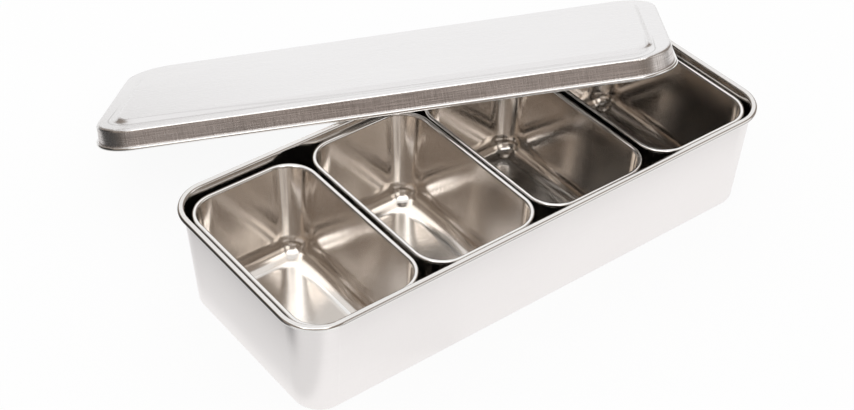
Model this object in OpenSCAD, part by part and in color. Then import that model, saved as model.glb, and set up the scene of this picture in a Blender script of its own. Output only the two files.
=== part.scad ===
// Four-pan condiment box: an outer tray, four drop-in pans and a loose one-piece lid.
// Every piece is one drawn sheet with a curled edge. The tray stands on its flat floor
// at z = 0, centred on the origin, with the pans side by side along X. The lid has been
// taken off and leans askew: its front bead lies across the back rim, the tray's back
// right rim corner holds up the underside of its panel, and its low corner stands on
// the table behind the tray.

/* [Tray] */
// Length of the tray over its rolled rim
tray_len = 340; // [300:1:400]
// Width of the tray over its rolled rim
tray_width = 143.5; // [132:0.5:165]
// Height from the table to the top of the rim
tray_height = 70; // [62:0.5:80]
// Corner radius over the rolled rim
tray_corner_r = 24.5; // [22:0.5:30]
// Sheet thickness of the tray
tray_sheet = 0.8; // [0.6:0.05:1]
// Lean of the tray walls from upright, in degrees
tray_draft = 3.8; // [1:0.1:4.5]
// Outside radius where the tray walls meet the floor
tray_floor_r = 4; // [2.5:0.5:8]
// Outer radius of the bend from wall to rim
tray_bend_r = 1.8; // [1.6:0.1:3.2]
// Flat of the rim between its bend and its curl
tray_flat = 0.6; // [0.6:0.1:2]
// Outer radius of the tray's curled edge
tray_curl_r = 1.7; // [1.5:0.05:2.2]

/* [Pans] */
// How far the pan rims lie below the tray rim
pan_drop = 5.5; // [4:0.1:12]
// Even gap between neighbouring pans, and at both ends of the row
pan_gap = 2.1; // [1:0.1:5]
// Even gap between the pans and the long walls
pan_side_gap = 2; // [1:0.1:5]
// How much tighter a pan's corner is than the tray's inside corner
pan_corner_ease = 0.5; // [0.2:0.1:4]
// Sheet thickness of the pans
pan_sheet = 0.7; // [0.5:0.05:0.9]
// Lean of the pan walls from upright, in degrees
pan_draft = 3; // [1:0.1:4.5]
// Outside radius where the pan walls meet the floor
pan_floor_r = 14; // [4:0.5:14]
// Outer radius of the bend from pan wall to rim
pan_bend_r = 1.6; // [1.4:0.1:2.5]
// Flat of the pan rim between its bend and its curl
pan_flat = 0.2; // [0.1:0.1:1]
// Outer radius of the pans' curled edge
pan_curl_r = 1.1; // [1:0.05:1.5]
// Where each pan has slid along the row, as a share of the even gap
pan_slide = [0.4, 0.6, 0.15, 0.7];
// Where each pan has slid towards the back, as a share of the side gap
pan_back = [-0.1, 0.8, 0.78, 0.8];

/* [Lid] */
// Room between the tray rim and the lid's skirt, at each end
lid_end_clear = 5.4; // [1:0.1:6]
// Room between the tray rim and the lid's skirt, along each side
lid_side_clear = 0.5; // [0.4:0.1:3]
// How much rounder the lid's corner is than one that follows the tray's
lid_corner_ease = 1.5; // [0:0.1:3]
// Height of the skirt from its bead to the lid's edge
lid_height = 13.2; // [11:0.1:18]
// Sheet thickness of the lid
lid_sheet = 0.7; // [0.5:0.05:0.9]
// Lean of the skirt from upright, in degrees
lid_draft = 3; // [1:0.1:6]
// Outside radius of the lid's top edge
lid_edge_r = 2; // [1.2:0.1:3]
// Outer radius of the lid's beaded edge
lid_bead_r = 1.3; // [1.1:0.05:1.6]
// Width of the border round the raised panel
lid_border = 9.5; // [6:0.5:14]
// How far the panel stands above the border
panel_rise = 2; // [0.8:0.1:2.5]
// Steepest slope of the step up to the panel, in degrees
panel_slope = 45; // [40:1:75]

/* [Leaning lid] */
// Turn of the lid seen from above, in degrees
lid_turn = -35.7; // [-40:0.1:-30]
// How far the lid's middle lies to the right of the tray's middle
lid_right = 14.3; // [8:0.1:18]
// How far the lid's middle lies behind the tray's back rim
lid_behind = 37.6; // [34:0.1:42]
// Gap kept where the resting lid bears on the rims
rest_gap = 0.3; // [0.2:0.05:0.5]

/* [Hidden] */
$fn = 64;

steel = [0.80, 0.79, 0.77];
steel_in = [0.70, 0.69, 0.67];
steel_lid = [0.86, 0.85, 0.84];

// How far every curl is rolled past its top, in degrees
curl_turn = 235;
// Room kept between a corner's axis and the centre of the floor radius
axis_room = 0.2;
// Overlap of a bend with the flats it joins
weld_lap = 0.01;
pan_count = len(pan_slide);

// Sheet face of the tray wall at the level of the pan rims
tray_lip = tray_curl_r + tray_flat + tray_bend_r * cos(tray_draft);
pan_level_inset = tray_lip + (pan_drop - tray_bend_r) * tan(tray_draft);

// The pans share the tray's inside length and stand on its floor
pan_len = (tray_len - 2 * pan_level_inset - (pan_count + 1) * pan_gap) / pan_count;
pan_width = tray_width - 2 * pan_level_inset - 2 * pan_side_gap;
pan_height = tray_height - pan_drop - tray_sheet;
pan_corner_r = tray_corner_r - pan_level_inset - pan_corner_ease;
pan_pitch = pan_len + pan_gap;

// The lid's skirt goes over the tray rim with the named room
lid_len = tray_len + 2 * (lid_end_clear + 2 * lid_bead_r);
lid_width = tray_width + 2 * (lid_side_clear + 2 * lid_bead_r);
lid_corner_r = tray_corner_r + lid_side_clear + 2 * lid_bead_r + lid_corner_ease;
lid_roof = lid_height + panel_rise - lid_sheet;
step_r = panel_rise / (2 * (1 - cos(panel_slope)));

lid_pose = settle([tray_height - 20, -9, -20], 8);

// A vector turned about X by roll, then about Y by pitch, then about Z by the lid's turn
function turned(v, pitch, roll) =
    let (
        a = [v.x, v.y * cos(roll) - v.z * sin(roll), v.y * sin(roll) + v.z * cos(roll)],
        b = [a.x * cos(pitch) + a.z * sin(pitch), a.y, a.z * cos(pitch) - a.x * sin(pitch)]
    )
    [b.x * cos(lid_turn) - b.y * sin(lid_turn), b.x * sin(lid_turn) + b.y * cos(lid_turn), b.z];

// Spare room of a pose [height, pitch, roll] at the lid's three rests, each zero once it is
// settled: front bead over back rim, panel over rim corner, low corner over the table
function spare(pose) =
    let (
        middle = [lid_right, tray_width / 2 + lid_behind, pose[0]],
        up = turned([0, 0, 1], pose[1], pose[2]),
        tilt = norm([up.x, up.y]),
        along = turned([1, 0, 0], pose[1], pose[2]),
        between = cross(along, [1, 0, 0]) / norm(cross(along, [1, 0, 0])),
        front_bead = turned([0, lid_bead_r - lid_width / 2, lid_bead_r], pose[1], pose[2]),
        low_corner = turned([
            lid_corner_r - lid_len / 2,
            lid_width / 2 - lid_corner_r,
            lid_bead_r
        ], pose[1], pose[2]),
        back_rim = [0, tray_width / 2 - tray_curl_r, tray_height - tray_curl_r],
        rim_corner = [
            tray_len / 2 - tray_corner_r,
            tray_width / 2 - tray_corner_r,
            tray_height - tray_curl_r
        ]
    )
    [
        (middle + front_bead - back_rim) * between - tray_curl_r - lid_bead_r - rest_gap,
        (middle - rim_corner) * up + lid_roof - (tray_corner_r - tray_curl_r) * tilt
            - tray_curl_r - rest_gap,
        middle.z + low_corner.z - (lid_corner_r - lid_bead_r) * tilt - lid_bead_r
    ];

// Newton's method on the three rests
function settle(pose, steps) =
    steps == 0 ? pose :
    let (
        d = 0.001,
        now = spare(pose),
        a = (spare(pose + [d, 0, 0]) - now) / d,
        b = (spare(pose + [0, d, 0]) - now) / d,
        c = (spare(pose + [0, 0, d]) - now) / d,
        whole = a * cross(b, c)
    )
    settle(pose - [now * cross(b, c), a * cross(now, c), a * cross(b, now)] / whole, steps - 1);

// A bent strip of sheet: part of a ring from one angle to another about its own centre,
// and a hair more at each end, so that it runs into the flats it joins
module bent_strip(outer_r, sheet, from, to) {
    lap = weld_lap / outer_r * 180 / PI;
    fan = [for (i = [0:6]) from - lap + (to - from + 2 * lap) * i / 6];
    intersection() {
        difference() {
            circle(r = outer_r);
            circle(r = outer_r - sheet);
        }
        polygon(concat([[0, 0]], [for (a = fan) 2 * outer_r * [cos(a), sin(a)]]));
    }
}

// Sheet section of a drawn dish, x outwards from the corner's axis: curled rim, leaning
// wall, floor radius and the floor, which goes on inwards to floor_from.
module dish_section(height, corner_r, sheet, draft, floor_r, bend_r, flat, curl_r, floor_from = 0) {
    lean = [cos(draft), -sin(draft)];
    bend = [corner_r - curl_r - flat, height - bend_r];
    inner_bend = bend_r - sheet;
    most_floor_r = (bend.x * lean.x + (height - bend_r) * lean.y - inner_bend - axis_room * lean.x)
        / (1 + lean.y);
    corner = min(floor_r, most_floor_r);
    turn = [
        bend.x + ((height - bend_r - corner) * lean.y - inner_bend - corner) / lean.x,
        corner
    ];
    translate([corner_r - curl_r, height - curl_r])
        bent_strip(curl_r, sheet, 90 - curl_turn, 90);
    if (flat > 0)
        translate([bend.x, height - sheet])
            square([flat, sheet]);
    translate(bend)
        bent_strip(bend_r, sheet, 90, 180 - draft);
    polygon([
        bend - bend_r * lean,
        bend - inner_bend * lean,
        turn + corner * lean,
        turn + (corner - sheet) * lean
    ]);
    translate(turn)
        bent_strip(corner, sheet, -90, -draft);
    translate([floor_from, 0])
        square([turn.x - floor_from, sheet]);
}

// Half lengths of the straight sides, in whole microns so that corners and sides meet
function half_sides(length, width, corner_r) =
    [for (size = [length, width]) round((size / 2 - corner_r) * 1000) / 1000];

// Carries a section round a rounded rectangle: four corners and four straight sides
module carried_round(length, width, corner_r) {
    half = half_sides(length, width, corner_r);
    for (side = [0:3]) {
        out = half[side % 2];
        run = half[(side + 1) % 2];
        rotate([0, 0, 90 * side])
            translate([out, run, 0]) {
                rotate_extrude(angle = 90)
                    children();
                rotate([90, 0, 0])
                    linear_extrude(2 * run)
                        children();
            }
    }
}

// Flat middle that fills what the carried section leaves open
module middle_sheet(length, width, corner_r, sheet) {
    linear_extrude(sheet)
        square(2 * half_sides(length, width, corner_r), center = true);
}

module tray() {
    color(steel) {
        carried_round(tray_len, tray_width, tray_corner_r)
            dish_section(tray_height, tray_corner_r, tray_sheet, tray_draft, tray_floor_r,
                tray_bend_r, tray_flat, tray_curl_r);
        middle_sheet(tray_len, tray_width, tray_corner_r, tray_sheet);
    }
}

// One pan of the row, numbered from the left, standing on the tray's floor
module pan(number) {
    even_x = (number - (pan_count + 1) / 2) * pan_pitch;
    color(steel_in)
        translate([
            even_x + pan_slide[number - 1] * pan_gap,
            pan_back[number - 1] * pan_side_gap,
            tray_sheet
        ]) {
            carried_round(pan_len, pan_width, pan_corner_r)
                dish_section(pan_height, pan_corner_r, pan_sheet, pan_draft, pan_floor_r,
                    pan_bend_r, pan_flat, pan_curl_r);
            middle_sheet(pan_len, pan_width, pan_corner_r, pan_sheet);
        }
}

// Step from the border down to the panel, for the lid drawn as a dish: two bends
module panel_step(border_r) {
    outer_r = step_r + lid_sheet / 2;
    first = [border_r, lid_sheet / 2 - step_r];
    second = first + 2 * step_r * [-sin(panel_slope), cos(panel_slope)];
    translate(first)
        bent_strip(outer_r, lid_sheet, 90, 90 + panel_slope);
    translate(second)
        bent_strip(outer_r, lid_sheet, -90, panel_slope - 90);
    translate([0, -panel_rise])
        square([second.x, lid_sheet]);
}

// The lid drawn as a dish: bead up, border at z = 0 and the panel below it
module lid_dish() {
    edge_in = 2 * lid_bead_r + (lid_height - lid_bead_r) * tan(lid_draft);
    border_r = lid_corner_r - edge_in - lid_border;
    carried_round(lid_len, lid_width, lid_corner_r) {
        dish_section(lid_height, lid_corner_r, lid_sheet, lid_draft, lid_edge_r,
            lid_bead_r, 0, lid_bead_r, floor_from = border_r);
        panel_step(border_r);
    }
    translate([0, 0, -panel_rise])
        middle_sheet(lid_len, lid_width, lid_corner_r, lid_sheet);
}

module lid() {
    color(steel_lid)
        translate([lid_right, tray_width / 2 + lid_behind, lid_pose[0]])
            rotate([lid_pose[2], lid_pose[1], lid_turn])
                translate([0, 0, lid_height])
                    rotate([180, 0, 0])
                        lid_dish();
}

tray();
pan(1);  // pan_1
pan(2);  // pan_2
pan(3);  // pan_3
pan(4);  // pan_4
lid();
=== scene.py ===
import math

import bpy
import numpy as np
from mathutils import Matrix, Vector


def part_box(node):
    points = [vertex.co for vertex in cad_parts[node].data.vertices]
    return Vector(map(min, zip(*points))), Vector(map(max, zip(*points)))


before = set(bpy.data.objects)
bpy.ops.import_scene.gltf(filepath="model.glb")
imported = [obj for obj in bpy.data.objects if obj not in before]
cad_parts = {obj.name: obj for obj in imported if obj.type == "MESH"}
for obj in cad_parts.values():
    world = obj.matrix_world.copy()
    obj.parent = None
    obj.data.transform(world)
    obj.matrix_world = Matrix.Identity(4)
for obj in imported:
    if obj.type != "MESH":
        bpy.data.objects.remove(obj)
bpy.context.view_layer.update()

# Four-pan stainless condiment box: finishes, floor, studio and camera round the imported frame.
# Metres throughout. The CAD nodes only get materials, face by face; no vertex is touched.

WHITE = (1, 1, 1, 1)


# ---------------------------------------------------------------- camera
# Solved from the tray's rim in the photograph: degrees, metres, and pixels of its width.
IMAGE_W = 854
FOCAL_PX = 1699.0
CENTRE_PX = 389.76                       # the column straight ahead of the lens
SENSOR_MM = 36
AZIMUTH, ELEVATION = -36.285, 39.68
DISTANCE = 1.0287
AIM_RIGHT, AIM_UP = -0.05113, 0.02249    # the point it faces, from the middle of the tray's foot


def make_camera():
    """Camera at the photograph's viewing angle, aimed beside the tray's middle."""
    a, e = math.radians(AZIMUTH), math.radians(ELEVATION)
    back = Vector((math.sin(a) * math.cos(e), -math.cos(a) * math.cos(e), math.sin(e)))
    right = (-back).cross(Vector((0, 0, 1))).normalized()
    up = right.cross(-back)
    data = bpy.data.cameras.new("camera")
    data.sensor_width = SENSOR_MM
    data.lens = FOCAL_PX / IMAGE_W * SENSOR_MM
    data.shift_x = 0.5 - CENTRE_PX / IMAGE_W
    cam = bpy.data.objects.new("camera", data)
    cam.location = back * DISTANCE + right * AIM_RIGHT + up * AIM_UP
    cam.rotation_mode = "QUATERNION"
    cam.rotation_quaternion = (-back).to_track_quat("-Z", "Y")
    bpy.context.scene.collection.objects.link(cam)
    bpy.context.scene.camera = cam


# ---------------------------------------------------------------- node helpers
class Graph:
    """Short names for building a node tree. An input is a value or another node's socket."""

    def __init__(self, owner):
        owner.use_nodes = True
        self.tree = owner.node_tree
        self.tree.nodes.clear()

    def add(self, kind, inputs=None, **settings):
        node = self.tree.nodes.new(kind)
        for name, value in settings.items():
            setattr(node, name, value)
        for key, value in (inputs or {}).items():
            if isinstance(value, bpy.types.NodeSocket):
                self.tree.links.new(value, node.inputs[key])
            else:
                node.inputs[key].default_value = value
        return node

    def math(self, operation, *values, clamp=False):
        node = self.add("ShaderNodeMath", dict(enumerate(values)), operation=operation)
        node.use_clamp = clamp
        return node.outputs[0]

    def fold(self, operation, values):
        """One operation over any number of values."""
        result = values[0]
        for value in values[1:]:
            result = self.math(operation, result, value)
        return result

    def ramp(self, value, low, high, start=0.0, end=1.0, kind="SMOOTHSTEP"):
        """Runs from start to end while value runs from low to high, and stays there beyond."""
        inputs = {0: value, 1: low, 2: high, 3: start, 4: end}
        return self.add("ShaderNodeMapRange", inputs, interpolation_type=kind).outputs[0]

    def split(self, coords):
        """The X, Y and Z of coords."""
        return self.add("ShaderNodeSeparateXYZ", {0: coords}).outputs

    def streaks(self, coords, scale, detail=3.0):
        """Noise stretched by a different scale along each axis, 0 to 1."""
        stretched = self.add("ShaderNodeVectorMath", {0: coords, 1: scale}, operation="MULTIPLY")
        inputs = {"Vector": stretched.outputs[0], "Scale": 1.0, "Detail": detail}
        return self.add("ShaderNodeTexNoise", inputs).outputs["Fac"]

    def mix_colour(self, fac, a, b):
        return self.add("ShaderNodeMix", {0: fac, 6: a, 7: b}, data_type="RGBA").outputs[2]

    def past_sides(self, place, core):
        """How far place lies past each side of a level rectangle with these half sides."""
        return [self.math("SUBTRACT", self.math("ABSOLUTE", place[k]), core[k]) for k in (0, 1)]

    def gap(self, past):
        """Distance to that rectangle from outside it, 0 inside."""
        out = [self.math("MAXIMUM", p, 0.0) for p in past]
        return self.math("SQRT", self.fold("ADD", [self.math("MULTIPLY", p, p) for p in out]))


def object_coords(graph, lean=None):
    """The node's own coordinates, optionally measured along a leaning piece's axes."""
    coords = graph.add("ShaderNodeTexCoord").outputs["Object"]
    if lean is None:
        return coords
    middle, turn = lean
    moved = graph.add("ShaderNodeVectorMath", {0: coords, 1: middle}, operation="SUBTRACT")
    mapping = graph.add("ShaderNodeMapping", {"Vector": moved.outputs[0], "Rotation": turn})
    return mapping.outputs[0]


# ---------------------------------------------------------------- steel finishes
# Noise scales along X, Y and Z: fine across the streaks and coarse along them
FINE, COARSE = 1800.0, 30.0
ALONG_X = (COARSE, FINE, FINE)
LEVEL_LINES = (COARSE, COARSE, FINE)
UPRIGHT_LINES = (FINE, FINE, COARSE)
CLOUD_SCALE = (14.0, 14.0, 14.0)
WAVE_SCALE = (16.0, 16.0, 11.0)
STREAK_SPAN = 0.3, 0.7                   # the part of the noise's range that the tone uses
STREAK_HEIGHT = 0.0002                   # of the streaks' relief, at a bump of 1
# colour of the shade painted along the lid panel's creases
PAINTED_CREASE_SHADE = (0.45, 0.44, 0.43, 1)


def steel(name, colour, dark, rough, rough_spread, grains, bump, mottle=0.0, wave=0.0,
          lean=None, painted_shade=None):
    """Metal whose fine streaks change its colour, roughness and relief.

    The tone runs from dark, where it is rougher by rough_spread, to colour. grains is a list
    of (scale along each axis, share); the shares add up to 1. bump is the strength of their
    relief, mottle the share of slow clouds in the tone, and wave the height of the slow
    unevenness that pressing leaves. lean holds a leaning piece's middle and turn, and the last
    argument is a mask where shade is painted into the colour.
    """
    mat = bpy.data.materials.new(name)
    g = Graph(mat)
    coords = object_coords(g, lean)
    grain = g.fold("ADD", [g.math("MULTIPLY", g.streaks(coords, scale), share)
                           for scale, share in grains])
    streak = g.ramp(grain, *STREAK_SPAN)
    cloud = g.streaks(coords, CLOUD_SCALE, detail=2.0)
    tone = g.math("ADD", g.math("MULTIPLY", streak, 1.0 - mottle),
                  g.math("MULTIPLY", cloud, mottle))
    base = g.mix_colour(tone, (*dark, 1), (*colour, 1))
    # paints shade into the colour along the lid panel's creases
    if painted_shade:
        base = g.mix_colour(painted_shade(g, coords), base, PAINTED_CREASE_SHADE)
    relief = {"Height": grain, "Strength": bump, "Distance": STREAK_HEIGHT}
    if wave:
        swell = g.streaks(coords, WAVE_SCALE, detail=1.0)
        slow = g.add("ShaderNodeBump", {"Height": swell, "Strength": 1.0, "Distance": wave})
        relief["Normal"] = slow.outputs[0]
    shader = g.add("ShaderNodeBsdfPrincipled", {
        "Base Color": base,
        "Metallic": 1.0,
        "Roughness": g.ramp(tone, 0.0, 1.0, rough + rough_spread, rough, kind="LINEAR"),
        "Normal": g.add("ShaderNodeBump", relief).outputs[0],
    })
    g.add("ShaderNodeOutputMaterial", {"Surface": shader.outputs[0]})
    return mat


# ---------------------------------------------------------------- faces
def face_table(node):
    """Centres and normals of a node's faces as arrays, one row each."""
    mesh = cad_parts[node].data
    centres = np.array([p.center for p in mesh.polygons])
    normals = np.array([p.normal for p in mesh.polygons])
    return centres, normals


def facing_out(centres, normals, half, radius):
    """How far each face looks level away from the core of a rounded rectangle, -1 to 1."""
    core = np.array(half) - radius
    level = centres[:, :2]
    away = level - np.clip(level, -core, core)
    away = away / np.maximum(np.linalg.norm(away, axis=1, keepdims=True), 1e-9)
    return (normals[:, :2] * away).sum(1)


def paint(node, base, *coats):
    """Gives every face the base material, then the faces in each coat's mask its material."""
    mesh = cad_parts[node].data
    mesh.materials.clear()
    mesh.materials.append(base)
    slots = np.zeros(len(mesh.polygons), np.int32)
    for slot, (mask, mat) in enumerate(coats, 1):
        mesh.materials.append(mat)
        slots[mask] = slot
    mesh.polygons.foreach_set("material_index", slots)
    mesh.update()


# ---------------------------------------------------------------- tray
TRAY_RIM_BAND = 0.0038                   # height of the polished rim
TRAY_CORNER = 0.0245                     # of the rim's outline
TRAY_OUT, TRAY_DOWN = 0.2, 0.3           # least outward or downward look of an outer face


def paint_tray():
    _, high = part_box("tray")
    centres, normals = face_table("tray")
    out = facing_out(centres, normals, (high.x, high.y), TRAY_CORNER)
    outside = (out > TRAY_OUT) | (normals[:, 2] < -TRAY_DOWN)
    rim = centres[:, 2] >= high.z - TRAY_RIM_BAND
    satin = steel("tray_satin", (0.955, 0.925, 0.915), (0.92, 0.885, 0.875),
                  rough=0.30, rough_spread=0.05, bump=0.015, mottle=0.6,
                  grains=[(LEVEL_LINES, 0.6), (UPRIGHT_LINES, 0.4)])
    rolled = steel("tray_rim_polish", (0.90, 0.885, 0.865), (0.84, 0.82, 0.80),
                   rough=0.07, rough_spread=0.05, bump=0.02, mottle=0.3,
                   grains=[(ALONG_X, 1.0)])
    # Inner faces: the tray's steel darkened by shade painted inside the tray
    shaded_inside = steel("tray_inside_painted_shade", (0.66, 0.63, 0.60), (0.60, 0.57, 0.54),
                  rough=0.12, rough_spread=0.06, bump=0.03, mottle=0.3,
                  grains=[(UPRIGHT_LINES, 1.0)])
    paint("tray", shaded_inside, (outside, satin), (rim, rolled))


# ---------------------------------------------------------------- pans
PAN_RIM_BAND = 0.0023                    # height of the polished rim
PAN_FLOOR_BAND = 0.0015                  # the floor's faces lie no higher than this
PAN_FLOOR_UP = 0.97                      # and look up at least this much


def paint_pans():
    # Walls: darker and warmer than the pan floor, partly the drawn finish and partly painted
    # shade
    drawn_and_shaded = steel("pan_drawn_and_painted_shade", (0.835, 0.79, 0.745), (0.73, 0.685, 0.64),
                  rough=0.12, rough_spread=0.07, bump=0.03, mottle=0.35, wave=0.0014,
                  grains=[(UPRIGHT_LINES, 1.0)])
    rolled = steel("pan_rim_polish", (0.95, 0.94, 0.92), (0.90, 0.88, 0.86),
                   rough=0.08, rough_spread=0.05, bump=0.02, mottle=0.3,
                   grains=[(ALONG_X, 1.0)])
    satin = steel("pan_floor_satin", (0.96, 0.95, 0.94), (0.91, 0.9, 0.885),
                  rough=0.13, rough_spread=0.06, bump=0.05, mottle=0.5, wave=0.0008,
                  grains=[(ALONG_X, 1.0)])
    for node in ("pan_1", "pan_2", "pan_3", "pan_4"):
        low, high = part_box(node)
        centres, normals = face_table(node)
        rim = centres[:, 2] > high.z - PAN_RIM_BAND
        flat = (centres[:, 2] < low.z + PAN_FLOOR_BAND) & (normals[:, 2] > PAN_FLOOR_UP)
        paint(node, drawn_and_shaded, (rim, rolled), (flat, satin))


# ---------------------------------------------------------------- lid
LID_BEAD_BAND = 0.0026                   # height of the polished bead
LID_CORNER = 0.0291                      # of the bead's outline
LID_UP, LID_OUT = 0.35, 0.5              # least upward look of the top, outward of the skirt
# Shade painted along the raised panel, as lines at its foot and at its brow: how far in from
# the bead's outline, corner radius, half width and strength. They fade in from the middle to
# the front between these shares of the lid's half width.
PANEL_LINES = (
    (0.01275, 0.01635, 0.0008, 0.55),
    (0.01755, 0.01155, 0.0011, 0.22),
)
PANEL_LINES_FADE = -0.2, -0.6


def lid_axes():
    """The leaning lid's middle and its own axes, from how its faces are spread."""
    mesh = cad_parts["lid"].data
    areas = np.array([p.area for p in mesh.polygons])
    centres, _ = face_table("lid")
    middle = (centres * areas[:, None]).sum(0) / areas.sum()
    spread = (centres - middle).T @ ((centres - middle) * areas[:, None])
    _, vectors = np.linalg.eigh(spread)
    length = vectors[:, 2] * np.sign(vectors[0, 2])
    up = vectors[:, 0] * np.sign(vectors[2, 0])
    return middle, np.array([length, np.cross(up, length), up])


def painted_crease_shade(half):
    """Shade painted along the front of the raised panel: a thin line at its foot, a fainter one
    above.
    """
    def mask(g, coords):
        place = g.split(coords)
        lines = []
        for inset, radius, wide, strength in PANEL_LINES:
            past = g.past_sides(place, [side - inset - radius for side in half])
            inside = g.math("MINIMUM", g.math("MAXIMUM", *past), 0.0)
            away = g.math("SUBTRACT", g.math("ADD", g.gap(past), inside), radius)
            lines.append(g.ramp(g.math("ABSOLUTE", away), 0.0, wide, strength, 0.0))
        front = g.ramp(place[1], *(share * half[1] for share in PANEL_LINES_FADE))
        return g.math("MULTIPLY", g.fold("ADD", lines), front, clamp=True)
    return mask


def paint_lid():
    middle, axes = lid_axes()
    centres, normals = face_table("lid")
    local = (centres - middle) @ axes.T
    looks = normals @ axes.T
    half = np.abs(local).max(0)
    top = looks[:, 2] > LID_UP
    level = np.abs(looks[:, 2]) <= LID_UP
    skirt = level & (facing_out(local, looks, half[:2], LID_CORNER) > LID_OUT)
    bead = local[:, 2] < local[:, 2].min() + LID_BEAD_BAND
    lean = tuple(middle), Matrix(axes.tolist()).to_euler()
    # the top's satin also carries the shade painted along the raised panel
    satin = steel("lid_top_satin_and_painted_shade", (0.90, 0.89, 0.89), (0.86, 0.85, 0.85),
                  rough=0.24, rough_spread=0.05, bump=0.03, mottle=0.5, wave=0.0002,
                  grains=[(ALONG_X, 1.0)], lean=lean, painted_shade=painted_crease_shade(half.tolist()))
    brushed = steel("lid_skirt_brushed", (0.90, 0.86, 0.84), (0.46, 0.42, 0.40),
                    rough=0.22, rough_spread=0.14, bump=0.35,
                    grains=[(LEVEL_LINES, 0.55), (UPRIGHT_LINES, 0.45)], lean=lean)
    rolled = steel("lid_bead_polish", (0.94, 0.93, 0.91), (0.88, 0.86, 0.84),
                   rough=0.10, rough_spread=0.05, bump=0.02, mottle=0.3,
                   grains=[(ALONG_X, 1.0)], lean=lean)
    # Underside: the lid's steel darkened by shade painted under the lid
    shaded_under = steel("lid_underside_painted_shade", (0.62, 0.60, 0.58), (0.56, 0.54, 0.52),
                  rough=0.22, rough_spread=0.06, bump=0.03, mottle=0.4,
                  grains=[(ALONG_X, 1.0)], lean=lean)
    paint("lid", shaded_under, (top, satin), (skirt, brushed), (bead, rolled))


# ---------------------------------------------------------------- floor
FLOOR_HALF = 1.3
FLOOR_DROP = 0.0004                      # keeps the floor clear of the tray's underside
FOOT = 0.14, 0.042                       # half sides of the tray's foot, less its corner
PAPER = (0.9, 0.9, 0.9, 1)
WHITE_SHARE = 0.92                       # the rest of the light is the paper's own, with shadow
# What the metal mirrors of the floor, as shares of white, with shade painted in: a painted
# contact shadow round the foot, a painted dark patch off the left end for the left curl, a
# painted grey band before the front for the front curl, and a slight painted shade beside the
# left end. Each fade is where the change starts and ends, along X or Y from the middle of the
# tray's foot, or for the contact shade away from the foot.
CONTACT_SHARE, CONTACT_FADE = 0.35, (0.004, 0.016)
LEFT_SHARE, LEFT_FADE_X, LEFT_FADE_Y = 0.02, (-0.214, -0.2), (-0.06, -0.01)
FRONT_SHARE, FRONT_FADE_X = 0.35, (-0.13, -0.08)
FRONT_NEAR_FADE_Y, FRONT_FAR_FADE_Y = (-0.136, -0.121), (-0.4, -0.26)
BESIDE_SHARE, BESIDE_FADE_X = 0.8, (-0.172, -0.166)


def mirrored_floor(g):
    """The floor's brightness in the metal, with the painted shades."""
    place = g.split(g.add("ShaderNodeTexCoord").outputs["Object"])
    x, y = place[0], place[1]
    foot = g.gap(g.past_sides(place, FOOT))
    contact = g.ramp(foot, *CONTACT_FADE, CONTACT_SHARE, 1.0)
    left = g.math("MAXIMUM", g.ramp(x, *LEFT_FADE_X, LEFT_SHARE, 1.0),
                  g.ramp(y, *LEFT_FADE_Y, 1.0, 0.0))
    band = g.math("ADD", g.ramp(y, *FRONT_NEAR_FADE_Y, FRONT_SHARE, 1.0),
                  g.ramp(y, *FRONT_FAR_FADE_Y, 1.0 - FRONT_SHARE, 0.0))
    front = g.math("MAXIMUM", band, g.ramp(x, *FRONT_FADE_X, 1.0, 0.0))
    beside = g.ramp(x, *BESIDE_FADE_X, BESIDE_SHARE, 1.0)
    return g.fold("MULTIPLY", [contact, left, beside, front])


def make_floor():
    """Pale floor that keeps the object's shadow; white to the lens, and in the metal with the
    painted shades above."""
    verts = [(x, y, 0) for x, y in ((-FLOOR_HALF, -FLOOR_HALF), (FLOOR_HALF, -FLOOR_HALF),
                                    (FLOOR_HALF, FLOOR_HALF), (-FLOOR_HALF, FLOOR_HALF))]
    mesh = bpy.data.meshes.new("floor")
    mesh.from_pydata(verts, [], [(0, 1, 2, 3)])
    floor = bpy.data.objects.new("floor", mesh)
    floor.location.z = -FLOOR_DROP
    bpy.context.scene.collection.objects.link(floor)
    mat = bpy.data.materials.new("floor_paper")
    g = Graph(mat)
    rays = g.add("ShaderNodeLightPath").outputs
    glossy = rays["Is Glossy Ray"]
    seen = g.math("ADD", rays["Is Camera Ray"], glossy, clamp=True)
    level = g.add("ShaderNodeMix", {0: glossy, 2: 1.0, 3: mirrored_floor(g)}).outputs[0]
    paper = g.add("ShaderNodeBsdfDiffuse", {"Color": PAPER})
    white = g.add("ShaderNodeEmission", {"Color": WHITE, "Strength": level})
    both = g.add("ShaderNodeMixShader", {
        0: g.math("MULTIPLY", seen, WHITE_SHARE),
        1: paper.outputs[0],
        2: white.outputs[0],
    })
    g.add("ShaderNodeOutputMaterial", {"Surface": both.outputs[0]})
    mesh.materials.append(mat)


# ---------------------------------------------------------------- studio
def toward(azimuth, elevation):
    """Unit vector; azimuth from +X towards +Y, in degrees."""
    a, e = math.radians(azimuth), math.radians(elevation)
    return (math.cos(a) * math.cos(e), math.sin(a) * math.cos(e), math.sin(e))


AHEAD = toward(57, 0)                    # level, about the way the camera looks
# The overhead softbox fills what lies above three sloping planes through the object. Each
# plane's normal is its azimuth's direction, plus forward times AHEAD, plus rise times up:
# (azimuth, forward, rise). The fade is the half width of its soft edges.
SOFTBOX_EDGES = [(60, 0, 0.88), (147, 0.35, 0.62), (-40, 0.3, 0.85)]
SOFTBOX_FADE = 0.045
# Its colour ahead of the object and, brighter, on the camera's side, and where along AHEAD
# the one changes to the other
SOFTBOX_FAR, SOFTBOX_NEAR = (0.93, 0.925, 0.925, 1), (2.4, 2.38, 2.36, 1)
SOFTBOX_NEAR_FADE = -0.15, -0.6
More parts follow.
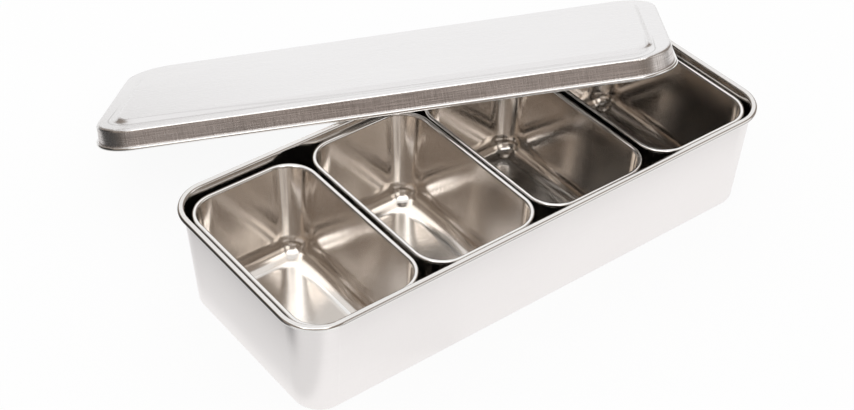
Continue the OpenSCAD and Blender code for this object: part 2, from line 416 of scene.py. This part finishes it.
# Small lights and dark places low in the room: direction, the half angles at which they are
# full and gone, in degrees, and colour
PANELS = [
    (toward(-130, 0), 14, 34, (0.36, 0.31, 0.285)),
    (toward(-48, 12), 10, 26, (0.9, 0.88, 0.86)),
    (toward(-104, 35), 5, 12, (1.5, 1.42, 1.32)),
    (toward(-154, 35), 5, 12, (1.4, 1.32, 1.22)),
    (toward(136, 4), 16, 26, (0.025, 0.022, 0.02)),
]
ROOM_LOW, ROOM_HIGH = (0.225, 0.192, 0.168, 1), (0.29, 0.247, 0.212, 1)
ROOM_FADE = -0.1, 0.7                    # heights of a unit vector at which each is reached


def make_world():
    """A dim warm room with soft lights for the metal, plain white to the lens and the floor."""
    world = bpy.data.worlds.new("studio")
    bpy.context.scene.world = world
    g = Graph(world)
    way = g.add("ShaderNodeTexCoord").outputs["Generated"]

    def along(aim):
        node = g.add("ShaderNodeVectorMath", {0: way, 1: aim}, operation="DOT_PRODUCT")
        return node.outputs["Value"]

    room = g.mix_colour(g.ramp(along((0, 0, 1)), *ROOM_FADE), ROOM_LOW, ROOM_HIGH)
    for aim, full, gone, colour in PANELS:
        edge = math.cos(math.radians(gone)), math.cos(math.radians(full))
        room = g.mix_colour(g.ramp(along(aim), *edge), room, (*colour, 1))
    covers = []
    for azimuth, forward, rise in SOFTBOX_EDGES:
        normal = Vector(toward(azimuth, 0)) + forward * Vector(AHEAD) + Vector((0, 0, rise))
        covers.append(g.ramp(along(tuple(normal.normalized())), -SOFTBOX_FADE, SOFTBOX_FADE))
    softbox = g.mix_colour(g.ramp(along(AHEAD), *SOFTBOX_NEAR_FADE), SOFTBOX_FAR, SOFTBOX_NEAR)
    room = g.mix_colour(g.fold("MULTIPLY", covers), room, softbox)
    rays = g.add("ShaderNodeLightPath").outputs
    plain = g.math("ADD", rays["Is Camera Ray"], rays["Is Diffuse Ray"], clamp=True)
    seen = g.mix_colour(plain, room, WHITE)
    back = g.add("ShaderNodeBackground", {"Color": seen, "Strength": 1.0})
    g.add("ShaderNodeOutputWorld", {"Surface": back.outputs[0]})


bpy.context.scene.view_settings.view_transform = "Standard"
make_camera()
make_world()
make_floor()
paint_tray()
paint_pans()
paint_lid()
